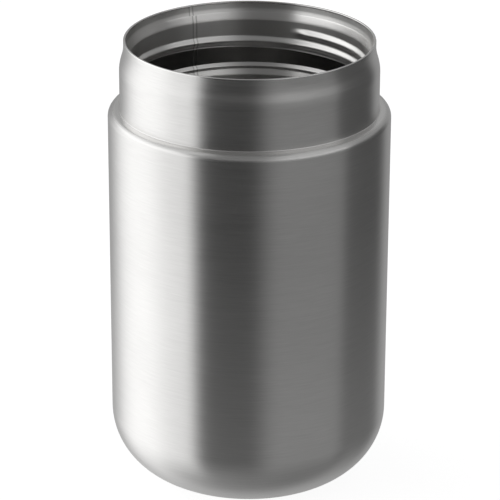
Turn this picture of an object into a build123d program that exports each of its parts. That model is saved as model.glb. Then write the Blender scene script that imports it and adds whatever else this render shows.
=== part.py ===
"""Double-walled vacuum food jar, open, without its lid.

Millimetres, +Z up. The origin is the centre of the face that the jar stands on.
Every wall is thin steel sheet: a profile line gives one side of the sheet, and an
offset of that line gives the other.
"""
import os
from math import pi, sin

from build123d import *

os.makedirs("parts", exist_ok=True)

# Overall sizes
jar_height = 156.0
body_radius = 47.5

# Sheet thicknesses
shell_wall = 0.4
liner_wall = 0.4
base_wall = 0.4

# Outer shell, read down from the rim: rim band, slope, neck, shoulder
rim_step = 1.5
rim_band_length = 3.9
rim_slope_length = 5.0
rim_slope_bend = 12.0
neck_length = 24.0
shoulder_width = 4.0
shoulder_drop = 0.2
shoulder_crease = 0.8
shoulder_round = 2.5

# Base cup: round corner, straight edge up to the seam, standing ring, raised centre
base_corner = 23.0
base_straight = 6.0
base_seam_width = 0.6
standing_ring_width = 3.0
base_recess_slope = 2.0
base_recess_depth = 1.5
base_recess_bend = 2.0

# Vacuum base: a second dish above the base cup, with the pump-out port
vacuum_base_rise = 2.6
vacuum_skirt = 5.0
port_dimple_radius = 5.0
port_dimple_slope = 1.2
port_dimple_depth = 1.1
port_dimple_bend = 0.6
port_hole_radius = 1.0
port_seal_radius = 3.2
port_seal_thickness = 0.9

# Getter: a pressed pill in a small steel cup, beside the port
getter_radius = 4.0
getter_thickness = 1.1
getter_cup_wall = 0.25
getter_cup_clearance = 0.1
getter_cup_depth = 0.9
getter_port_gap = 1.5

# Rim weld: one bead over the edges of the shell and the liner
rim_weld_height = 0.45
rim_weld_bevel = 0.2

# Inner liner, read down from the rim: collar, cove, thread wall, groove, beads, flare
collar_straight = 2.0
collar_depth = 3.7
collar_narrowing = 0.35
cove_depth = 6.0
cove_narrowing = 0.65
collar_bend = 3.0
cove_bend = 1.0
groove_start_depth = 16.3
groove_end_depth = 21.95
groove_bulge = 0.6
upper_bead_depth = 22.9
upper_bead_height = 0.5
bead_gap_depth = 23.9
bead_gap_height = 0.38
lower_bead_depth = 25.9
lower_bead_height = 1.1
sealing_wall_end_depth = 31.0
flare_end_depth = 34.5
bead_bend = 0.6
flare_bend = 2.0

# Rolled thread, right-handed
thread_pitch = 4.1
thread_turns = 1.25
thread_start_depth = 10.0
thread_start_angle = 78.0
thread_height = 1.0
thread_width = 3.6
thread_fade_turns = 0.07
thread_foot = 0.25
thread_fade_end = -0.1
sections_per_turn = 24
sections_per_loft = 3

# Liner bottom: a drawn cup butt-welded to the liner
liner_corner = 18.0
liner_bottom_straight = 5.2
liner_bottom_gap = 3.4
liner_weld_width = 1.6
liner_weld_height = 0.2

# Foil shield wound on the liner
foil_thickness = 0.1
foil_weld_gap = 3.2
foil_neck_gap = 16.0

# Radii that follow from the sizes above
neck_radius = body_radius - shoulder_width
rim_radius = neck_radius - rim_step
shell_inner_radius = body_radius - shell_wall
collar_radius = rim_radius - shell_wall - liner_wall
liner_outer_radius = collar_radius + liner_wall
collar_end_radius = collar_radius - collar_narrowing
thread_wall_radius = collar_end_radius - cove_narrowing
liner_weld_radius = liner_outer_radius + liner_weld_height
standing_ring_radius = body_radius - base_corner - standing_ring_width
base_recess_radius = standing_ring_radius - base_recess_slope
getter_cup_radius = getter_radius + getter_cup_clearance + getter_cup_wall
getter_offset = port_dimple_radius + getter_port_gap + getter_cup_radius

# Levels that follow from the sizes above
sheet_top = jar_height - rim_weld_height
rim_slope_top = jar_height - rim_band_length
rim_slope_bottom = rim_slope_top - rim_slope_length
shoulder_level = jar_height - neck_length
seam_bottom = base_corner + base_straight - base_seam_width / 2
seam_top = seam_bottom + base_seam_width
vacuum_base_level = base_wall + vacuum_base_rise
vacuum_skirt_top = seam_top + vacuum_skirt
dimple_level = vacuum_base_level + port_dimple_depth
getter_level = vacuum_base_level + base_wall
liner_bottom_level = getter_level + liner_bottom_gap
liner_seam_level = liner_bottom_level + liner_corner + liner_bottom_straight
foil_bottom = liner_seam_level + liner_weld_width / 2 + foil_weld_gap
foil_top = shoulder_level - foil_neck_gap

# Outer shell: one tube with its body, shoulder, neck and rim band
with BuildPart() as outer_shell:
    with BuildSketch(Plane.XZ):
        with BuildLine():
            FilletPolyline(
                (rim_radius, sheet_top),
                (rim_radius, rim_slope_top),
                (neck_radius, rim_slope_bottom),
                (neck_radius, shoulder_level),
                (body_radius, shoulder_level - shoulder_drop),
                (body_radius, seam_top),
                radius=[rim_slope_bend, rim_slope_bend, shoulder_crease, shoulder_round],
            )
            offset(amount=shell_wall, side=Side.RIGHT)
        make_face()
    revolve(axis=Axis.Z)
outer_shell.part.label = "outer_shell"
export_step(outer_shell.part, "parts/outer_shell.step")

# Weld between the shell and the base cup, ground flush outside
with BuildPart() as base_weld:
    with BuildSketch(Plane.XY.offset(seam_bottom)):
        Circle(body_radius)
        Circle(shell_inner_radius, mode=Mode.SUBTRACT)
    extrude(amount=base_seam_width)
base_weld.part.label = "base_weld"
export_step(base_weld.part, "parts/base_weld.step")

# Base cup: the visible round base, with a standing ring and a raised centre
with BuildPart() as base_cup:
    with BuildSketch(Plane.XZ):
        with BuildLine():
            FilletPolyline(
                (0, base_recess_depth),
                (base_recess_radius, base_recess_depth),
                (standing_ring_radius, 0),
                (body_radius, 0),
                (body_radius, seam_bottom),
                radius=[base_recess_bend, base_recess_bend, base_corner],
            )
            offset(amount=base_wall, side=Side.LEFT)
        make_face()
    revolve(axis=Axis.Z)
base_cup.part.label = "base_cup"
export_step(base_cup.part, "parts/base_cup.step")

# Vacuum base: closes the vacuum space; its skirt backs the shell's seam
with BuildPart() as vacuum_base:
    with BuildSketch(Plane.XZ):
        with BuildLine():
            FilletPolyline(
                (0, dimple_level),
                (port_dimple_radius - port_dimple_slope, dimple_level),
                (port_dimple_radius, vacuum_base_level),
                (shell_inner_radius, vacuum_base_level),
                (shell_inner_radius, vacuum_skirt_top),
                radius=[port_dimple_bend, port_dimple_bend, base_corner - base_wall],
            )
            offset(amount=base_wall, side=Side.LEFT)
        make_face()
    revolve(axis=Axis.Z)
    with Locations((0, 0, dimple_level)):
        Hole(port_hole_radius, depth=2 * base_wall)
vacuum_base.part.label = "vacuum_base"
export_step(vacuum_base.part, "parts/vacuum_base.step")

# Port seal: solder glass melted into the dimple and up through the port
with BuildPart() as port_seal:
    with BuildSketch(Plane.XY.offset(dimple_level - port_seal_thickness)):
        Circle(port_seal_radius)
    extrude(amount=port_seal_thickness)
    with BuildSketch(Plane.XY.offset(dimple_level)):
        Circle(port_hole_radius)
    extrude(amount=base_wall)
port_seal.part.label = "port_seal"
export_step(port_seal.part, "parts/port_seal.step")

# Getter cup and pill, beside the port on the vacuum side of the vacuum base
with BuildPart() as getter_cup:
    with BuildSketch(Plane.XY.offset(getter_level)):
        with Locations((0, getter_offset)):
            Circle(getter_cup_radius)
    extrude(amount=getter_cup_wall + getter_cup_depth)
    with BuildSketch(Plane.XY.offset(getter_level + getter_cup_wall)):
        with Locations((0, getter_offset)):
            Circle(getter_cup_radius - getter_cup_wall)
    extrude(amount=getter_cup_depth, mode=Mode.SUBTRACT)
getter_cup.part.label = "getter_cup"
export_step(getter_cup.part, "parts/getter_cup.step")

with BuildPart() as getter_pill:
    with BuildSketch(Plane.XY.offset(getter_level + getter_cup_wall)):
        with Locations((0, getter_offset)):
            Circle(getter_radius)
    extrude(amount=getter_thickness)
getter_pill.part.label = "getter_pill"
export_step(getter_pill.part, "parts/getter_pill.step")


# Inner liner: a seam-welded tube, rolled with a thread and two sealing beads
def liner_point(radius, depth):
    """A point of the liner's inside, by its radius and its depth under the rim."""
    return (radius, jar_height - depth)


def ridge_height(turn):
    """Height of the thread's ridge, which fades in and out at its two ends."""
    to_end = min(turn, thread_turns - turn)
    share = min(1.0, to_end / thread_fade_turns)
    rise = sin(share * pi / 2) ** 2
    return thread_fade_end + (thread_height - thread_fade_end) * rise


def ridge_sections(face_radius):
    """Sketches of the ridge on one face of the sheet, in order along the thread."""
    count = round(thread_turns * sections_per_turn)
    foot = face_radius + thread_foot
    sections = []
    for step in range(count + 1):
        turn = thread_turns * step / count
        level = jar_height - thread_start_depth - thread_pitch * turn
        low = (foot, level - thread_width / 2)
        high = (foot, level + thread_width / 2)
        crest = (face_radius - ridge_height(turn), level)
        with BuildSketch(Plane.XZ.rotated((0, 0, thread_start_angle - 360 * turn))) as section:
            with BuildLine():
                ThreePointArc(low, crest, high)
                Line(high, low)
            make_face()
        sections.append(section.sketch)
    return sections


with BuildPart() as inner_liner:
    with BuildSketch(Plane.XZ):
        with BuildLine():
            FilletPolyline(
                liner_point(collar_radius, rim_weld_height),
                liner_point(collar_radius, collar_straight),
                liner_point(collar_end_radius, collar_depth),
                liner_point(thread_wall_radius, cove_depth),
                liner_point(thread_wall_radius, groove_start_depth),
                liner_point(thread_wall_radius + groove_bulge, groove_end_depth),
                liner_point(thread_wall_radius - upper_bead_height, upper_bead_depth),
                liner_point(thread_wall_radius - bead_gap_height, bead_gap_depth),
                liner_point(thread_wall_radius - lower_bead_height, lower_bead_depth),
                liner_point(thread_wall_radius - lower_bead_height, sealing_wall_end_depth),
                liner_point(collar_radius, flare_end_depth),
                (collar_radius, liner_seam_level),
                radius=[collar_bend] * 2 + [cove_bend] * 2 + [bead_bend] * 4 + [flare_bend] * 2,
            )
            offset(amount=liner_wall, side=Side.LEFT)
        make_face()
    revolve(axis=Axis.Z)
    # the ridge stands inwards, and the roller leaves the same shape as a groove outside
    for sections, mode in (
        (ridge_sections(thread_wall_radius), Mode.ADD),
        (ridge_sections(thread_wall_radius + liner_wall), Mode.SUBTRACT),
    ):
        for first in range(0, len(sections) - 1, sections_per_loft):
            loft(sections[first : first + sections_per_loft + 1], mode=mode)
inner_liner.part.label = "inner_liner"
export_step(inner_liner.part, "parts/inner_liner.step")

# Liner bottom: a cup that meets the liner's lower edge
with BuildPart() as liner_bottom:
    with BuildSketch(Plane.XZ):
        with BuildLine():
            FilletPolyline(
                (0, liner_bottom_level),
                (liner_outer_radius, liner_bottom_level),
                (liner_outer_radius, liner_seam_level),
                radius=liner_corner,
            )
            offset(amount=liner_wall, side=Side.LEFT)
        make_face()
    revolve(axis=Axis.Z)
liner_bottom.part.label = "liner_bottom"
export_step(liner_bottom.part, "parts/liner_bottom.step")

# Weld around the seam of the liner and its bottom, on the vacuum side
with BuildPart() as liner_weld:
    with BuildSketch(Plane.XZ):
        with BuildLine():
            Polyline(
                (liner_outer_radius, liner_seam_level - liner_weld_width / 2),
                (liner_weld_radius, liner_seam_level - liner_weld_width / 4),
                (liner_weld_radius, liner_seam_level + liner_weld_width / 4),
                (liner_outer_radius, liner_seam_level + liner_weld_width / 2),
                close=True,
            )
        make_face()
    revolve(axis=Axis.Z)
liner_weld.part.label = "liner_weld"
export_step(liner_weld.part, "parts/liner_weld.step")

# Rim weld: a bead with eased edges that closes the shell and the liner at the top
with BuildPart() as rim_weld:
    with BuildSketch(Plane.XY.offset(sheet_top)):
        Circle(rim_radius)
        Circle(collar_radius, mode=Mode.SUBTRACT)
    extrude(amount=rim_weld_height)
    chamfer(rim_weld.edges().group_by(Axis.Z)[-1], length=rim_weld_bevel)
rim_weld.part.label = "rim_weld"
export_step(rim_weld.part, "parts/rim_weld.step")

# Foil shield: reflects heat back into the liner across the vacuum
with BuildPart() as foil_shield:
    with BuildSketch(Plane.XY.offset(foil_bottom)):
        Circle(liner_outer_radius + foil_thickness)
        Circle(liner_outer_radius, mode=Mode.SUBTRACT)
    extrude(amount=foil_top - foil_bottom)
foil_shield.part.label = "foil_shield"
export_step(foil_shield.part, "parts/foil_shield.step")
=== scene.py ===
# %% [markdown]
# # A double-walled food jar, open at the top
# The real jar is two thin steel tubes, one inside the other, joined at the rim and
# closed by pressed cups at the bottom. The space between them is pumped empty.
# This lesson turns the sheet parts that can be seen, gives each its own finish, and
# hangs large studio cards round and above them, because bare steel shows little else
# than what stands around it.

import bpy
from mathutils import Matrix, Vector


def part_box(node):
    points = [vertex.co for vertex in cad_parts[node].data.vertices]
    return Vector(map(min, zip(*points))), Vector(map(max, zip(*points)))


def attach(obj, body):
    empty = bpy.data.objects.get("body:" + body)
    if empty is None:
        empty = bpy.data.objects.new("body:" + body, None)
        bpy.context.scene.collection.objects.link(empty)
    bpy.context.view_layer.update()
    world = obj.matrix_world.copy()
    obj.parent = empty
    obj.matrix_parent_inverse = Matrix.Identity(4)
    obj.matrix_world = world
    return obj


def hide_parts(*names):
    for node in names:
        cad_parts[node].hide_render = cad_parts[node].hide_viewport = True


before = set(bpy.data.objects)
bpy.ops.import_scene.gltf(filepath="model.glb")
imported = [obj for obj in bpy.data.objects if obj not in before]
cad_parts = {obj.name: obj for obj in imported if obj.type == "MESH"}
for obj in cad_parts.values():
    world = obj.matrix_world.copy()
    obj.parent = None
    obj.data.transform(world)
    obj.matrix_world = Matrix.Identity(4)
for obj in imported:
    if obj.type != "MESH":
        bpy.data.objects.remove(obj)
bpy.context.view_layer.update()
print("frame nodes:", ", ".join(sorted(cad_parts)))

# %% [markdown]
# ## Units
# The frame is in metres, while a turner thinks in millimetres, so every size below is
# written in millimetres and passed through `mm`.

# %% Units
from math import atan2, cos, degrees, pi, radians, sin, tan

import bmesh
import bpy
from mathutils import Matrix, Vector

MM = 0.001


def mm(*values):
    """Millimetres turned into metres: one number, or several as a tuple."""
    return tuple(value * MM for value in values) if len(values) > 1 else values[0] * MM


# %% [markdown]
# ## Turning a sheet
# A spinner presses sheet steel over a form on a lathe, so the whole part follows from
# one line: the outline of the form. The line could be typed in as hundreds of points,
# but a few corner points are easier to check against a drawing. A vertex bevel then
# rounds each corner, a spin turns the line once around the axis, and solidify gives
# the skin its wall.

# %% Draw an outline and round its corners
ROUND_STEPS = 6


def draw_outline(corners, closed=False):
    """A wire in the XZ plane through corners given as (radius, height) in millimetres."""
    wire = bmesh.new()
    verts = [wire.verts.new((mm(radius), 0, mm(height))) for radius, height in corners]
    for one, two in zip(verts, verts[1:] + verts[:1] if closed else verts[1:]):
        wire.edges.new((one, two))
    return wire, verts


def round_corner(wire, vert, radius, steps=ROUND_STEPS):
    """Rounds one corner of the wire with an arc of that radius in millimetres."""
    one, two = [
        (edge.other_vert(vert).co - vert.co).normalized() for edge in vert.link_edges]
    bend = pi - one.angle(two)
    bmesh.ops.bevel(
        wire, geom=[vert], offset=mm(radius) * tan(bend / 2), offset_type="OFFSET",
        affect="VERTICES", segments=steps, profile=0.5, material=-1, clamp_overlap=False,
    )


# %% Turn the outline
TURN_STEPS = 288
SAME_PLACE = 1e-7


def turn(wire):
    """Spins the wire once round the vertical axis and closes the poles."""
    bmesh.ops.spin(
        wire, geom=wire.verts[:] + wire.edges[:], cent=(0, 0, 0), axis=(0, 0, 1),
        angle=2 * pi, steps=TURN_STEPS, use_merge=True,
    )
    bmesh.ops.remove_doubles(wire, verts=wire.verts, dist=SAME_PLACE)
    bmesh.ops.recalc_face_normals(wire, faces=wire.faces)


# %% Point the faces outwards
JAR_MIDDLE = Vector((0, 0, mm(78)))


def face_outwards(skin):
    """Makes an open skin's faces point away from the middle of the jar."""
    push = sum(
        face.normal.dot(face.calc_center_median() - JAR_MIDDLE) * face.calc_area()
        for face in skin.faces)
    if push < 0:
        bmesh.ops.reverse_faces(skin, faces=skin.faces)


# %% Make the mesh a piece
def finish_piece(name, skin, node, sharp_angle=35):
    """Makes the finished bmesh a piece that stands for a node of the frame."""
    for face in skin.faces:
        face.smooth = True
    for edge in skin.edges:
        edge.smooth = edge.calc_face_angle(0) < radians(sharp_angle)
    mesh = bpy.data.meshes.new(name)
    skin.to_mesh(mesh)
    volume = skin.calc_volume(signed=True)
    skin.free()
    piece = bpy.data.objects.new(name, mesh)
    bpy.context.scene.collection.objects.link(piece)
    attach(piece, "root")
    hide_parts(node)
    print(f"{name}: {len(mesh.polygons)} faces, {volume / MM ** 3:.0f} cubic mm of steel")
    return piece


# %% The whole way from outline to sheet piece
SHEET = 0.4


def sheet_piece(name, wire, node):
    """Turns an outline, gives the skin the wall of the sheet, and makes it a piece."""
    turn(wire)
    face_outwards(wire)
    bmesh.ops.solidify(wire, geom=wire.faces[:], thickness=mm(SHEET))
    return finish_piece(name, wire, node)


# %% [markdown]
# ## The outer shell
# The shell is one tube. Its body is straight, its shoulder is a narrow step, and its
# neck slopes in a little under the rim, where the lid's skirt goes over it. The
# outline runs down the outside, because the outside is the face that has a size on the
# drawing, and the wall grows inwards from it.

# %% Levels and radii
def levels_of(node):
    """Lowest and highest level of a node of the frame, in millimetres."""
    return tuple(corner[2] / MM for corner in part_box(node))


JAR_HEIGHT = levels_of("rim_weld")[1]
SHEET_TOP = levels_of("outer_shell")[1]
SEAM_BOTTOM, SEAM_TOP = levels_of("base_weld")
LINER_SEAM = levels_of("inner_liner")[0]
LINER_FLOOR = levels_of("liner_bottom")[0]
BODY_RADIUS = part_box("base_weld")[1][0] / MM
RIM_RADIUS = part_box("rim_weld")[1][0] / MM
RIM_STEP, SHOULDER_DROP = 1.5, 0.2
NECK_RADIUS = RIM_RADIUS + RIM_STEP


def depth(level):
    """Height above the table of a place that is so many millimetres under the rim."""
    return JAR_HEIGHT - level


SLOPE_TOP, SLOPE_BOTTOM, SHOULDER = depth(3.9), depth(8.9), depth(24.0)
print(f"rim at {JAR_HEIGHT:.1f} mm, shoulder at {SHOULDER:.1f} mm, seam at {SEAM_TOP:.1f} mm")

# %% Outer shell
SLOPE_BEND, CREASE_BEND, SHOULDER_BEND = 12.0, 0.4, 2.5

shell_wire, line = draw_outline([
    (RIM_RADIUS, SHEET_TOP), (RIM_RADIUS, SLOPE_TOP), (NECK_RADIUS, SLOPE_BOTTOM),
    (NECK_RADIUS, SHOULDER), (BODY_RADIUS, SHOULDER - SHOULDER_DROP),
    (BODY_RADIUS, SEAM_TOP),
])
for corner, bend in zip(line[1:-1], (SLOPE_BEND, SLOPE_BEND, CREASE_BEND, SHOULDER_BEND)):
    round_corner(shell_wire, corner, bend)
shell = sheet_piece("body_shell", shell_wire, "outer_shell")

# %% [markdown]
# ## The base cup and its weld
# The round base is pressed from its own disc and butt-welded to the shell. The weld is
# ground flush, so it is a ring with the same radius as its neighbours, and shows no
# line. The middle of the base is pressed up, so that the jar stands on a ring and
# does not rock.

# %% Base cup
BASE_CORNER, STANDING_WIDTH, RECESS_SLOPE, RECESS_DEPTH = 23.0, 3.0, 2.0, 1.5
RECESS_BEND, RECESS_STEPS, CORNER_STEPS = 2.0, 4, 28
STANDING_RADIUS = BODY_RADIUS - BASE_CORNER - STANDING_WIDTH

cup_wire, line = draw_outline([
    (0, RECESS_DEPTH), (STANDING_RADIUS - RECESS_SLOPE, RECESS_DEPTH),
    (STANDING_RADIUS, 0), (BODY_RADIUS, 0), (BODY_RADIUS, SEAM_BOTTOM),
])
for corner in line[1:3]:
    round_corner(cup_wire, corner, RECESS_BEND, RECESS_STEPS)
round_corner(cup_wire, line[3], BASE_CORNER, CORNER_STEPS)
base = sheet_piece("base_bowl", cup_wire, "base_cup")

# %% Base weld
seam_wire, _ = draw_outline([(BODY_RADIUS, SEAM_TOP), (BODY_RADIUS, SEAM_BOTTOM)])
base_seam = sheet_piece("base_seam", seam_wire, "base_weld")

# %% [markdown]
# ## The rim
# The edges of the shell and the liner are pressed together and melted into one bead,
# which is then polished so that it is kind to lips. Its section is a small rectangle
# with two round corners. The section is closed on itself before it is turned, so it
# needs no wall.

# %% Rim bead
COLLAR = RIM_RADIUS - 2 * SHEET
RIM_BEND, RIM_STEPS = 0.3, 5

rim_wire, line = draw_outline([
    (COLLAR, SHEET_TOP), (RIM_RADIUS, SHEET_TOP), (RIM_RADIUS, JAR_HEIGHT),
    (COLLAR, JAR_HEIGHT),
], closed=True)
for corner in line[2:]:
    round_corner(rim_wire, corner, RIM_BEND, RIM_STEPS)
turn(rim_wire)
rim = finish_piece("rim_bead", rim_wire, "rim_weld")

# %% [markdown]
# ## The liner
# The liner is a strip rolled into a tube and welded along its length. Rollers then
# press in a collar that narrows a little, a short thread for the stopper, a shallow
# band that bulges out, and two round beads that the stopper's ring seals on. The
# outline gives the inside, read down from the rim; the wall grows outwards.

# %% Liner outline
WALL = COLLAR - 1.0
GROOVE_END, UPPER_BEAD, BEAD_GAP, LOWER_BEAD = 21.95, 22.9, 23.9, 25.9

liner_outline = [
    # radius, depth under the rim, bend
    (COLLAR, 0.8, 2.0),
    (COLLAR - 0.13, 2.2, 3.0),
    (COLLAR - 0.40, 3.62, 0.05),
    (COLLAR - 0.46, 3.76, 0.05),
    (WALL, 6.1, 4.5),
    (WALL, GROOVE_END, 0.3),
    (WALL - 0.45, UPPER_BEAD, 1.2),
    (WALL - 0.38, BEAD_GAP, 1.0),
    (WALL - 1.1, LOWER_BEAD, 1.5),
    (WALL - 1.1, 31.0, 2.0),
    (COLLAR, 34.5, 2.0),
]
liner_wire, line = draw_outline(
    [(COLLAR, SHEET_TOP)]
    + [(radius, depth(level)) for radius, level, _ in liner_outline]
    + [(COLLAR, LINER_SEAM)])
for corner, (_, _, bend) in zip(line[1:-1], liner_outline):
    round_corner(liner_wire, corner, bend)

# %% [markdown]
# ## Rows for the thread, and a narrow field for the weld
# A ridge can only show where the mesh has rows to bend, so the straight thread wall is
# divided into fine rows first. The lengthwise weld is only a millimetre wide, so the
# line is spun in two goes: a few degrees in very small steps for the weld, then the
# rest of the circle in ordinary steps.

# %% Divide the thread wall
COVE_END, LONG_EDGE, THREAD_ROWS = 6.0, 5.0, 82

thread_wall_edges = [
    edge for edge in liner_wire.edges
    if all(mm(depth(GROOVE_END)) < vert.co.z < mm(depth(COVE_END)) for vert in edge.verts)
    and edge.calc_length() > mm(LONG_EDGE)
]
bmesh.ops.subdivide_edges(liner_wire, edges=thread_wall_edges, cuts=THREAD_ROWS)
print("thread wall:", len(thread_wall_edges), "edge divided into", THREAD_ROWS + 1, "rows")

# %% Turn the liner in two goes
WELD_ANGLE, WELD_TWIST, WELD_FIELD, WELD_LEAD, WELD_STEPS = 118.0, 1.5, 5.0, 1.6, 26
LINER_SAME_PLACE = 2e-6

bmesh.ops.rotate(
    liner_wire, verts=liner_wire.verts, cent=(0, 0, 0),
    matrix=Matrix.Rotation(radians(WELD_ANGLE - WELD_LEAD), 3, "Z"),
)
last = liner_wire.verts[:] + liner_wire.edges[:]
for sweep, steps in ((WELD_FIELD, WELD_STEPS), (360 - WELD_FIELD, TURN_STEPS)):
    spun = bmesh.ops.spin(
        liner_wire, geom=last, cent=(0, 0, 0), axis=(0, 0, 1), angle=radians(sweep),
        steps=steps,
    )
    last = spun["geom_last"]
bmesh.ops.remove_doubles(liner_wire, verts=liner_wire.verts, dist=LINER_SAME_PLACE)
bmesh.ops.recalc_face_normals(liner_wire, faces=liner_wire.faces)

# %% Point the liner's faces at the axis
inward = sum(
    face.normal.dot(face.calc_center_median() * Vector((1, 1, 0)))
    for face in liner_wire.faces) < 0
if not inward:
    bmesh.ops.reverse_faces(liner_wire, faces=liner_wire.faces)
print("liner skin:", len(liner_wire.faces), "faces, open edges:",
      sum(edge.is_boundary for edge in liner_wire.edges))

# %% [markdown]
# ## Rolling the thread
# The ridge is a right-handed spiral of one turn and a quarter, high in the middle and
# rounded off at both ends, as a roller leaves it. Each point of the wall is asked how
# far it lies from the ridge's middle line, and moves towards the axis by the height
# that the ridge has there. Under the ridge the wall bulges out again. The crease where
# that starts leans with the thread, and has a small raised lip.

# %% Thread ridge
THREAD_START, THREAD_FIRST, THREAD_PITCH, THREAD_TURNS = 70.0, 10.0, 4.1, 1.25
RIDGE_HEIGHT, RIDGE_WIDTH, RIDGE_NOSE, RIDGE_TAIL = 0.95, 3.9, 0.03, 0.09


def ridge_lift(level, angle):
    """How far the ridge stands in, at a depth under the rim and an angle round the axis."""
    lift = 0.0
    first = ((THREAD_START - angle) % 360) / 360
    for turns in (first, first + 1):
        if turns <= THREAD_TURNS:
            away = abs(level - THREAD_FIRST - THREAD_PITCH * turns) / (RIDGE_WIDTH / 2)
            fade = min(1, turns / RIDGE_NOSE, (THREAD_TURNS - turns) / RIDGE_TAIL)
            if away < 1:
                flank = cos(away * pi / 2) ** 2
                lift = max(lift, RIDGE_HEIGHT * flank * sin(fade * pi / 2) ** 2)
    return lift


# %% Groove under the thread
GROOVE_EDGE, GROOVE_LEAN, GROOVE_BULGE = 16.25, 0.95, 0.65
LIP_HEIGHT, LIP_WIDTH = 0.06, 0.4


def groove_sink(level, angle):
    """How far the wall under the thread stands out, or in at the lip above the crease."""
    edge = GROOVE_EDGE + GROOVE_LEAN * cos(radians(angle))
    if level < edge:
        return -LIP_HEIGHT * max(0, 1 - (edge - level) / LIP_WIDTH)
    if level < GROOVE_END:
        return GROOVE_BULGE * (level - edge) / (GROOVE_END - edge) - LIP_HEIGHT
    fade = max(0, 1 - (level - GROOVE_END) / (UPPER_BEAD - GROOVE_END))
    return (GROOVE_BULGE - LIP_HEIGHT) * fade


# %% Press them into the wall
# Rows above THREAD_TOP belong to the collar and stay where they are.
THREAD_TOP = 6.3

for vert in liner_wire.verts:
    level = JAR_HEIGHT - vert.co.z / MM
    if THREAD_TOP < level < UPPER_BEAD:
        angle = degrees(atan2(vert.co.y, vert.co.x))
        push = groove_sink(level, angle) - ridge_lift(level, angle)
        vert.co.xy += vert.co.xy.normalized() * mm(push)

# %% [markdown]
# ## The lengthwise weld
# The weld was rolled flat after welding. What is left is a strip that stands out by a
# few hundredths of a millimetre between two fine sunk lines. Pressing the collar has
# turned it a little, so the weld jumps sideways at the small step.

# %% Weld line
# The weld stops PLAIN_EDGE below the rim bead, whose edge stays round.
WELD_HALF, LINE_HALF, LINE_DEPTH, STRIP_HEIGHT = 0.66, 0.22, 0.04, 0.02
STEP_LEVEL, PLAIN_EDGE = 3.7, 0.1


def weld_side(point):
    """Signed distance round the wall from the weld's middle line, in millimetres."""
    twist = WELD_TWIST if JAR_HEIGHT - point.z / MM < STEP_LEVEL else 0.0
    turned = degrees(atan2(point.y, point.x)) - WELD_ANGLE - twist
    return radians((turned + 180) % 360 - 180) * point.xy.length / MM


for vert in liner_wire.verts:
    side = abs(weld_side(vert.co))
    if side < WELD_HALF + LINE_HALF and vert.co.z < mm(SHEET_TOP) - mm(PLAIN_EDGE):
        gap = abs(side - WELD_HALF) / LINE_HALF
        sink = LINE_DEPTH * cos(gap * pi / 2) if gap < 1 else -STRIP_HEIGHT
        vert.co.xy += vert.co.xy.normalized() * mm(sink)

# %% Give the liner its wall
bmesh.ops.solidify(liner_wire, geom=liner_wire.faces[:], thickness=mm(SHEET))
liner = finish_piece("liner_tube", liner_wire, "inner_liner", sharp_angle=50)

# %% [markdown]
# ## The bottom of the liner
# The tube is closed by a drawn cup with a large round corner, which is easy to wipe
# clean. The two are welded edge to edge, so they have the same radius. This outline
# runs along the outside, one sheet further out than the one that gave the inside.

# %% Liner bottom
BOTTOM_BEND, BOTTOM_STEPS = 18.0, 20

bottom_wire, line = draw_outline([
    (0, LINER_FLOOR), (COLLAR + SHEET, LINER_FLOOR), (COLLAR + SHEET, LINER_SEAM),
])
round_corner(bottom_wire, line[1], BOTTOM_BEND, BOTTOM_STEPS)
liner_cup = sheet_piece("liner_cup", bottom_wire, "liner_bottom")

# %% [markdown]
# ## Writing materials as sums
# A finish is a small piece of arithmetic on where a point lies. `Signal` lets that be
# written with + - * / and powers, and `Board.add` places every other kind of node.

# %% Signals
class Signal:
    """A number on its way through a finish, which adds and multiplies like any other."""

    def __init__(self, board, socket):
        self.board, self.socket = board, socket

    def pick(self, name):
        """Another output of the same node."""
        return Signal(self.board, self.socket.node.outputs[name])

    def __add__(self, other):
        return self.board.math("ADD", self, other)

    def __radd__(self, other):
        return self.board.math("ADD", other, self)

    def __sub__(self, other):
        return self.board.math("SUBTRACT", self, other)

    def __rsub__(self, other):
        return self.board.math("SUBTRACT", other, self)

    def __mul__(self, other):
        return self.board.math("MULTIPLY", self, other)

    def __rmul__(self, other):
        return self.board.math("MULTIPLY", other, self)

    def __truediv__(self, other):
        return self.board.math("DIVIDE", self, other)

    def __pow__(self, other):
        return self.board.math("POWER", self, other)


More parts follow.
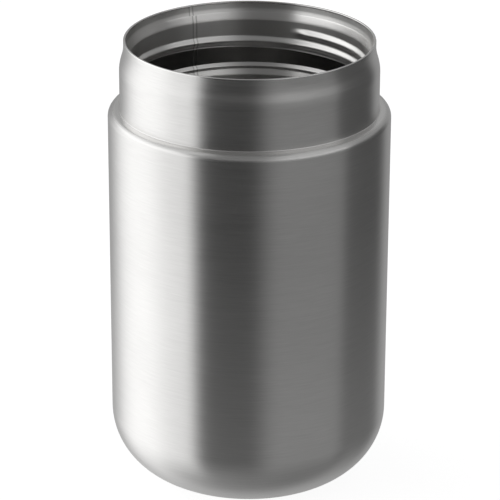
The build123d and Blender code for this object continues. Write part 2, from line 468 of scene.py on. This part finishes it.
# %% Boards
class Board:
    """The node tree of one finish."""

    def __init__(self, tree):
        tree.nodes.clear()
        self.tree = tree

    def add(self, kind, settings=None, sockets=None, output=0):
        """Places a node, sets it up, joins its sockets, and returns one of its outputs."""
        node = self.tree.nodes.new(kind)
        for name, value in (settings or {}).items():
            setattr(node, name, value)
        for name, value in (sockets or {}).items():
            if isinstance(value, Signal):
                self.tree.links.new(value.socket, node.inputs[name])
            else:
                node.inputs[name].default_value = value
        return Signal(self, node.outputs[output]) if node.outputs else None

    def math(self, operation, *terms):
        """One Math node on numbers and signals."""
        return self.add("ShaderNodeMath", {"operation": operation}, dict(enumerate(terms)))

    def soft_step(self, value, start, end):
        """0 before start, 1 after end, and a smooth rise between them."""
        return self.add(
            "ShaderNodeMapRange", {"interpolation_type": "SMOOTHSTEP"},
            {0: value, 1: start, 2: end, 3: 0.0, 4: 1.0},
        )

    def mix_colours(self, mask, one, two):
        """Colour one where the mask is 0 and colour two where it is 1."""
        return self.add("ShaderNodeMix", {"data_type": "RGBA"}, {0: mask, 6: one, 7: two}, 2)

    def noise(self, vector, scale, detail=2.0, roughness=0.5):
        """Cloudy numbers around one half."""
        return self.add(
            "ShaderNodeTexNoise", {"noise_dimensions": "3D"},
            {"Vector": vector, "Scale": scale, "Detail": detail, "Roughness": roughness},
        )

    def place(self):
        """Where a point is: its position, x, y, z and distance from the axis, in metres."""
        where = self.add("ShaderNodeTexCoord", output="Object")
        x = self.add("ShaderNodeSeparateXYZ", sockets={0: where})
        y, z = x.pick("Y"), x.pick("Z")
        return where, x, y, z, (x * x + y * y) ** 0.5


# %% Colours and empty finishes
def grey(level, warmth=0.0):
    """A neutral or slightly warm colour."""
    return (level, level * (1 - 0.35 * warmth), level * (1 - warmth), 1.0)


def new_finish(name):
    """A new material, and the board to write it on."""
    finish = bpy.data.materials.new(name)
    finish.use_nodes = True
    return finish, Board(finish.node_tree)


# %% [markdown]
# ## Brushed steel
# A turning jar is held against an abrasive belt, which leaves thousands of fine lines
# that run round it. They blur a reflection across their own direction, so a highlight
# becomes a tall band. Here noise is stretched along the lines and squeezed across them.
# A second, coarser set of lines changes the roughness, and a cloudy noise in the
# colour stands for the belt's uneven pressure and the marks of hands. Each function
# below takes a board and adds its part of the finish to it.

# %% Brush lines
BRUSH_RADIUS = 45.0


def brush_lines(board, lean, line_length, line_width):
    """Noise drawn out round the axis. The lean carries the lines over rounded ends."""
    _, x, y, z, reach = board.place()
    round_scale = BRUSH_RADIUS / line_length
    along = board.add("ShaderNodeCombineXYZ", sockets={
        0: x / reach * round_scale, 1: y / reach * round_scale,
        2: (z + reach * lean) * (1 / mm(line_width)),
    })
    return board.soft_step(board.noise(along, 1.0, detail=3.0, roughness=0.6), 0.1, 0.9)


# %% Brushed steel
COARSE_LENGTH, COARSE_WIDTH, CLOUD_SCALE = 2.5, 4, 26.0
LINE_SHADE, COARSE_SHADE, CLOUD_SHADE = 0.13, 0.06, 0.06
COARSE_ROUGHNESS, BRUSH_BUMP, BRUSH_TURN = 0.05, 0.6, 0.25


def brushed_steel(name, lean, colour, roughness, anisotropy, line_width, line_length, cut,
                  grain=1.0, stain_and_sheen=None, polish=None):
    """Steel brushed round the axis. Cut is the depth of the brush lines in millimetres."""
    finish, board = new_finish(name)
    where = board.place()[0]
    lines = brush_lines(board, lean, line_length, line_width)
    coarse = brush_lines(board, lean, line_length * COARSE_LENGTH, line_width * COARSE_WIDTH)
    clouds = board.soft_step(board.noise(where, CLOUD_SCALE), 0.2, 0.8)
    unevenness = ((lines - 0.5) * LINE_SHADE + (coarse - 0.5) * COARSE_SHADE
                  + (clouds - 0.5) * CLOUD_SHADE)
    shade = 1 + unevenness * grain
    # Where given, the colour is multiplied by real weld marks and by painted sheen on the
    # shoulder flat and the cone under the rim.
    if stain_and_sheen:
        shade = shade * stain_and_sheen(board)
    tint = board.add(
        "ShaderNodeVectorMath", {"operation": "SCALE"}, {0: colour[:3], 3: shade})
    rough = roughness + (coarse - 0.5) * COARSE_ROUGHNESS * grain
    if polish:
        rough = rough - polish(board)
    bump = board.add("ShaderNodeBump", sockets={
        "Strength": BRUSH_BUMP, "Distance": mm(cut), "Height": lines,
    })
    steel = board.add("ShaderNodeBsdfPrincipled", sockets={
        "Base Color": tint, "Metallic": 1.0, "Roughness": rough,
        "Anisotropic": anisotropy, "Anisotropic Rotation": BRUSH_TURN, "Normal": bump,
    })
    board.add("ShaderNodeOutputMaterial", sockets={"Surface": steel})
    print(f"{name}: brushed, lines {line_width} mm wide")
    return finish


# %% [markdown]
# ## Where the steel differs
# The belt misses the narrow flat of the shoulder, so that stays smoother than the walls;
# its colour is also painted paler, a painted sheen for the light that the upward-facing
# flat catches. Inside, the weld has left two dark lines with a light strip between them,
# the cone under the rim is painted paler, a painted highlight of the soft box, and the
# roller has polished the band under the thread. Each is a mask: 1 on the place that
# differs, and 0 elsewhere.

# %% Shoulder
# The first of these is painted sheen on the flat of the shoulder; the second is its real
# smoother finish.
SHOULDER_PAINTED_SHEEN, SHOULDER_SMOOTHER = 0.22, 0.12


def shoulder_zone(board):
    """1 on the flat of the shoulder, and 0 on the rest of the shell."""
    reach = board.place()[4]
    inner = board.soft_step(reach, mm(NECK_RADIUS + 0.1), mm(NECK_RADIUS + 0.5))
    outer = board.soft_step(reach, mm(BODY_RADIUS - 2.2), mm(BODY_RADIUS - 1.2))
    return inner * (1 - outer)


def shoulder_painted_sheen(board):
    """Painted sheen: the flat of the shoulder is painted a little paler than the walls, for
    the light it catches facing up.
    """
    return 1 + shoulder_zone(board) * SHOULDER_PAINTED_SHEEN


def shoulder_polish(board):
    """The flat of the shoulder is smoother than the walls."""
    return shoulder_zone(board) * SHOULDER_SMOOTHER


# %% Weld and collar
CRISP = 0.05
# The last of these is painted sheen: it raises the colour of the cone under the rim so that
# it shows more of the soft box.
LINE_DARKER, STRIP_PALER, COLLAR_PAINTED_SHEEN = 0.30, 0.08, 0.42


def weld_stain(board):
    """Two dark lines beside the liner's lengthwise weld, and a lighter strip between."""
    _, x, y, z, reach = board.place()
    step = depth(STEP_LEVEL)
    collar = board.soft_step(z, mm(step - CRISP), mm(step + CRISP))
    turned = board.math("ARCTAN2", y, x) - radians(WELD_ANGLE) - collar * radians(WELD_TWIST)
    side = board.math("ABSOLUTE", turned * reach * (1 / MM))
    away = board.math("ABSOLUTE", side - WELD_HALF)
    dark = 1 - board.soft_step(away, 0.10, 0.34)
    strip = 1 - board.soft_step(side, 0.30, 0.55)
    return 1 - dark * LINE_DARKER + strip * STRIP_PALER


def collar_sheen_zone(board):
    """1 on the cone under the rim, and 0 on the rest of the liner."""
    under_rim = mm(JAR_HEIGHT) - board.place()[3]
    below_top = board.soft_step(under_rim, mm(2.0), mm(3.0))
    return below_top * (1 - board.soft_step(under_rim, mm(6.0), mm(6.6)))


def liner_stain_and_sheen(board):
    """The weld's dark marks, and painted sheen that makes the cone under the rim paler."""
    return weld_stain(board) * (1 + collar_sheen_zone(board) * COLLAR_PAINTED_SHEEN)


# %% Band under the thread
BAND_SMOOTHER, BAND_SOFT = 0.20, 0.1


def band_polish(board):
    """The roller leaves the band under the thread smoother than the rest."""
    _, x, _, z, reach = board.place()
    under_rim = mm(JAR_HEIGHT) - z
    edge = mm(GROOVE_EDGE) + x / reach * mm(GROOVE_LEAN)
    below_edge = board.soft_step(under_rim - edge, mm(-CRISP), mm(CRISP))
    below_band = board.soft_step(
        under_rim, mm(GROOVE_END - BAND_SOFT), mm(GROOVE_END + BAND_SOFT))
    return (1 - below_band) * below_edge * BAND_SMOOTHER


# %% [markdown]
# ## The steels of the jar
# All steels share one recipe and differ in a few numbers. The lean is -1 where rounded
# ends lie at the top of a piece and 1 where they lie at its bottom, so that the lines
# don't smear over the round. The cups of the liner are drawn and hardly brushed at
# all, and the rim bead is polished nearly bright.

# %% Steels of the visible pieces
body_brush = {
    "colour": grey(0.62, 0.02), "roughness": 0.30, "anisotropy": 0.75,
    "line_width": 0.16, "line_length": 7.0, "cut": 0.003,
}
# The shell's colour carries painted sheen on the flat of the shoulder.
shell_steel = brushed_steel(
    "brushed_shell_steel", -1.0, **body_brush, stain_and_sheen=shoulder_painted_sheen, polish=shoulder_polish)
base_steel = brushed_steel("brushed_base_steel", 1.0, **body_brush)
# The liner's colour carries the weld's real marks and painted sheen on the cone under the
# rim.
liner_steel = brushed_steel(
    "rolled_liner_steel", -1.0, colour=grey(0.62, 0.02), roughness=0.30, anisotropy=0.75,
    line_width=0.3, line_length=18.0, cut=0.0005, grain=0.25,
    stain_and_sheen=liner_stain_and_sheen, polish=band_polish)
bottom_steel = brushed_steel(
    "drawn_bottom_steel", 1.0, colour=grey(0.60, 0.02), roughness=0.30, anisotropy=0.5,
    line_width=0.3, line_length=18.0, cut=0.0005, grain=0.4)
rim_steel = brushed_steel(
    "polished_rim_steel", -1.0, colour=grey(0.66, 0.02), roughness=0.18, anisotropy=0.2,
    line_width=0.15, line_length=8.0, cut=0.002)
for piece, finish in (
    (shell, shell_steel), (base, base_steel), (base_seam, shell_steel), (rim, rim_steel),
    (liner, liner_steel), (liner_cup, bottom_steel),
):
    piece.data.materials.append(finish)

# %% [markdown]
# ## Parts between the walls
# Six parts lie in the sealed space and are taken over from the frame as they are. Each
# still has the finish of its own making: deep-drawn cups keep faint rings, the weld
# that closes the liner was never polished and shows its heat and its ripples, the
# shield is crumpled foil, the pump hole is stopped with dark glass, and the pill that
# drinks the last gas is pressed from powder.

# %% Helpers for the hidden finishes
def mixed_finish(name, recipe):
    """A finish from a recipe that gives the shader's sockets."""
    finish, board = new_finish(name)
    shader = board.add("ShaderNodeBsdfPrincipled", sockets=recipe(board))
    board.add("ShaderNodeOutputMaterial", sockets={"Surface": shader})
    print(f"{name}: mixed")
    return finish


def raised(board, height, size):
    """Bumps as high as size in millimetres."""
    return board.add("ShaderNodeBump", sockets={
        "Strength": 1.0, "Distance": mm(size), "Height": height})


# %% Weld and foil
RIPPLES = 400.0
STRAW, BLUE = (0.52, 0.44, 0.30, 1.0), (0.30, 0.33, 0.42, 1.0)


def ripple_weld(board):
    """A weld as it comes off the machine: rippled, and coloured by the heat."""
    where, x, y, _, _ = board.place()
    ripple = board.math("SINE", board.math("ARCTAN2", y, x) * RIPPLES)
    heat = board.noise(where, 120.0, detail=3.0)
    tint = board.mix_colours(board.soft_step(heat, 0.35, 0.65), STRAW, BLUE)
    return {"Base Color": tint, "Metallic": 1.0, "Roughness": 0.26 + heat * 0.2,
            "Normal": raised(board, ripple, 0.04)}


def crumpled_foil(board):
    """Bright foil with folds of a third of a millimetre."""
    where = board.place()[0]
    folds = board.noise(where, 150.0, detail=4.0, roughness=0.65)
    film = board.noise(where, 35.0)
    tint = board.mix_colours(film, grey(0.90), grey(0.78, 0.01))
    return {"Base Color": tint, "Metallic": 1.0, "Roughness": 0.10 + film * 0.16,
            "Normal": raised(board, folds, 0.35)}


# %% Glass and powder
GLASS_DARK, GLASS_PALE, GLASS_IOR = (0.035, 0.038, 0.045, 1.0), (0.10, 0.105, 0.12, 1.0), 1.6


def dark_glass(board):
    """Solder glass that has run and set, with pale streaks."""
    where = board.place()[0]
    cloud = board.noise(where, 900.0, detail=3.0)
    tint = board.mix_colours(cloud, GLASS_DARK, GLASS_PALE)
    return {"Base Color": tint, "Roughness": 0.08 + cloud * 0.14, "IOR": GLASS_IOR,
            "Normal": raised(board, cloud, 0.03)}


def pressed_powder(board):
    """Metal powder pressed into a pill, dark between the grains."""
    where = board.place()[0]
    grains = board.noise(where, 3000.0, detail=2.0, roughness=0.7)
    tint = board.mix_colours(
        board.soft_step(grains, 0.35, 0.70), grey(0.07), grey(0.24, 0.03))
    return {"Base Color": tint, "Metallic": 0.35, "Roughness": 0.70 + grains * 0.25,
            "Normal": raised(board, grains, 0.05)}


# %% Give the hidden parts their finishes
drawn_steel = brushed_steel(
    "drawn_cup_steel", 1.0, colour=grey(0.56, 0.02), roughness=0.34, anisotropy=0.3,
    line_width=0.5, line_length=40.0, cut=0.004)
hidden_finishes = {
    "vacuum_base": drawn_steel, "getter_cup": drawn_steel,
    "liner_weld": mixed_finish("rippled_weld_steel", ripple_weld),
    "foil_shield": mixed_finish("crumpled_shield_foil", crumpled_foil),
    "port_seal": mixed_finish("dark_seal_glass", dark_glass),
    "getter_pill": mixed_finish("pressed_getter_powder", pressed_powder),
}
for name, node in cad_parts.items():
    node.data.materials.clear()
    node.data.materials.append(hidden_finishes.get(name, shell_steel))

# %% [markdown]
# ## The studio
# Bare steel is a mirror with a blur, so its light and dark bands are the studio's. A
# tall soft box stands on the left with its brightest part in the middle, a dark card in
# front, and a grey card on the right with a dark strip beside it. They are drawn in the
# world, in layers one above the other: a low ring for the walls, a brighter ring for
# the thread, and two layers overhead for the round of the shoulder, which faces upwards.
# The camera itself sees a white backdrop.

# %% Directions
world = bpy.data.worlds.new("studio")
bpy.context.scene.world = world
world.use_nodes = True
board = Board(world.node_tree)
looking = board.add("ShaderNodeTexCoord", output="Generated")
wx = board.add("ShaderNodeSeparateXYZ", sockets={0: looking})
wy, wz = wx.pick("Y"), wx.pick("Z")
azimuth = board.math("ARCTAN2", wx, 0 - wy) * (180 / pi)


def hang_cards(behind, *cards):
    """A surround of plain brightness with cards hung in it, each over the ones before."""
    light = behind
    for level, start, start_soft, end, end_soft in cards:
        mask = board.soft_step(azimuth, start - start_soft, start + start_soft) * (
            1 - board.soft_step(azimuth, end - end_soft, end + end_soft))
        light = light + (level - light) * mask
    return light


# %% Cards round the jar
# A card is its brightness, then where it starts and how soft that edge is, then where
# it ends and how soft that is, in degrees to the right of the front.
low_ring = hang_cards(
    0.38,
    (1.17, -136.0, 22.0, -43.6, 8.0),   # the soft box
    (1.55, -122.0, 18.0, -78.0, 16.0),  # its bright middle
    (0.045, -43.6, 8.0, 20.0, 18.0),    # the dark card in front
    (0.240, 18.0, 20.0, 82.0, 4.0),     # the grey card
    (0.090, 82.0, 4.0, 138.0, 10.0),    # the dark strip
)
high_ring = hang_cards(
    0.42,
    (1.75, -150.0, 22.0, -43.0, 8.0),
    (1.95, -122.0, 18.0, -78.0, 16.0),
    (0.13, -43.0, 8.0, 20.0, 18.0),
    (1.25, 18.0, 20.0, 92.0, 4.0),
    (0.40, 92.0, 4.0, 138.0, 10.0),
)

# %% Cards overhead
tops = hang_cards(
    0.36,
    (1.50, -150.0, 22.0, -62.0, 10.0),
    (0.48, 28.0, 12.0, 90.0, 12.0),
)
dome = hang_cards(
    0.34,
    (0.85, -150.0, 22.0, -60.0, 8.0),
    (0.22, -52.0, 8.0, 20.0, 16.0),
    (0.66, 28.0, 12.0, 128.0, 14.0),
)
ZENITH = 0.24

# %% Stack the layers
# Heights are sines of the angle above the horizon: 0 is level and 1 is straight up.
studio = low_ring
for layer, start, full in (
    (high_ring, 0.22, 0.40), (tops, 0.42, 0.60), (dome, 0.60, 0.80), (ZENITH, 0.93, 0.975),
):
    studio = studio + (layer - studio) * board.soft_step(wz, start, full)

UNDER_FRONT, UNDER_SIDE, UNDER_BACK = 0.20, 0.25, 0.35
under = UNDER_FRONT - wx * UNDER_SIDE + board.soft_step(wy, 0.0, 0.3) * UNDER_BACK
studio = studio + (under - studio) * (1 - board.soft_step(wz, -0.98, -0.45))

# %% World
WHITE = grey(1.0)

seen = board.add("ShaderNodeLightPath", output="Is Camera Ray")
strength = studio + (1 - studio) * seen
glow = board.add("ShaderNodeBackground", sockets={"Color": WHITE, "Strength": strength})
board.add("ShaderNodeOutputWorld", sockets={"Surface": glow})
print("studio:", len(world.node_tree.nodes), "nodes")

# %% [markdown]
# ## The table
# The table is white. It only shows itself and the jar's soft shadow to the camera. The
# steel sees the studio through it, as it would over a glossy table, and near the jar a
# little light that the table throws back, which lifts the lower end of the dark bands.

# %% Table
TABLE_SIZE = 6.0

table_mesh = bmesh.new()
bmesh.ops.create_grid(table_mesh, x_segments=1, y_segments=1, size=TABLE_SIZE)
table_data = bpy.data.meshes.new("table")
table_mesh.to_mesh(table_data)
table_mesh.free()
table = bpy.data.objects.new("table", table_data)
bpy.context.scene.collection.objects.link(table)

# %% White cloth
CLOTH_GLOW, CLOTH_GREY, SPILL = 0.90, 0.25, 0.09
SPILL_FULL, SPILL_END = 0.10, 0.34

cloth, board = new_finish("white_table")
glow = board.add("ShaderNodeEmission", sockets={"Color": WHITE, "Strength": CLOTH_GLOW})
matt = board.add("ShaderNodeBsdfDiffuse", sockets={"Color": grey(CLOTH_GREY)})
top = board.add("ShaderNodeAddShader", sockets={0: glow, 1: matt})
clear = board.add("ShaderNodeBsdfTransparent")
near = (1 - board.soft_step(board.place()[4], SPILL_FULL, SPILL_END)) * SPILL
spill = board.add("ShaderNodeEmission", sockets={"Color": near, "Strength": 1.0})
hint = board.add("ShaderNodeAddShader", sockets={0: clear, 1: spill})
to_camera = board.add("ShaderNodeLightPath", output="Is Camera Ray")
from_below = board.add("ShaderNodeNewGeometry", output="Backfacing")
shown = board.add(
    "ShaderNodeMixShader", sockets={0: to_camera * (1 - from_below), 1: hint, 2: top})
board.add("ShaderNodeOutputMaterial", sockets={"Surface": shown})
table.data.materials.append(cloth)
print(f"table: {table.dimensions.x:.0f} m wide")

# %% [markdown]
# ## Camera
# The camera looks down into the mouth from 22.5 degrees, through a long lens from
# almost a metre away, so the jar's sides stay nearly parallel.

# %% Camera
CAMERA_ANGLE, CAMERA_DISTANCE, CAMERA_ROLL = 22.54, 947.7, 0.225
AIM_HEIGHT, AIM_SIDE = 80.03, 0.36
SENSOR_WIDTH, LENS = 36.0, 199.44

aim = Vector(mm(AIM_SIDE, 0.0, AIM_HEIGHT))
slope, roll = radians(CAMERA_ANGLE), radians(CAMERA_ROLL)
eye = Vector(mm(
    0.0, -CAMERA_DISTANCE * cos(slope), AIM_HEIGHT + CAMERA_DISTANCE * sin(slope)))
camera_data = bpy.data.cameras.new("camera")
camera_data.sensor_width, camera_data.lens = SENSOR_WIDTH, LENS
camera_data.clip_start, camera_data.clip_end = 0.05, 50.0
camera = bpy.data.objects.new("camera", camera_data)
bpy.context.scene.collection.objects.link(camera)
facing = (aim - eye).to_track_quat("-Z", "Y").to_matrix().to_4x4()
camera.matrix_world = Matrix.Translation(eye) @ facing @ Matrix.Rotation(roll, 4, "Z")
bpy.context.scene.camera = camera
bpy.context.scene.view_settings.view_transform = "Standard"
print(f"camera: {CAMERA_DISTANCE:.0f} mm from its aim, {CAMERA_ANGLE:.1f} degrees up")
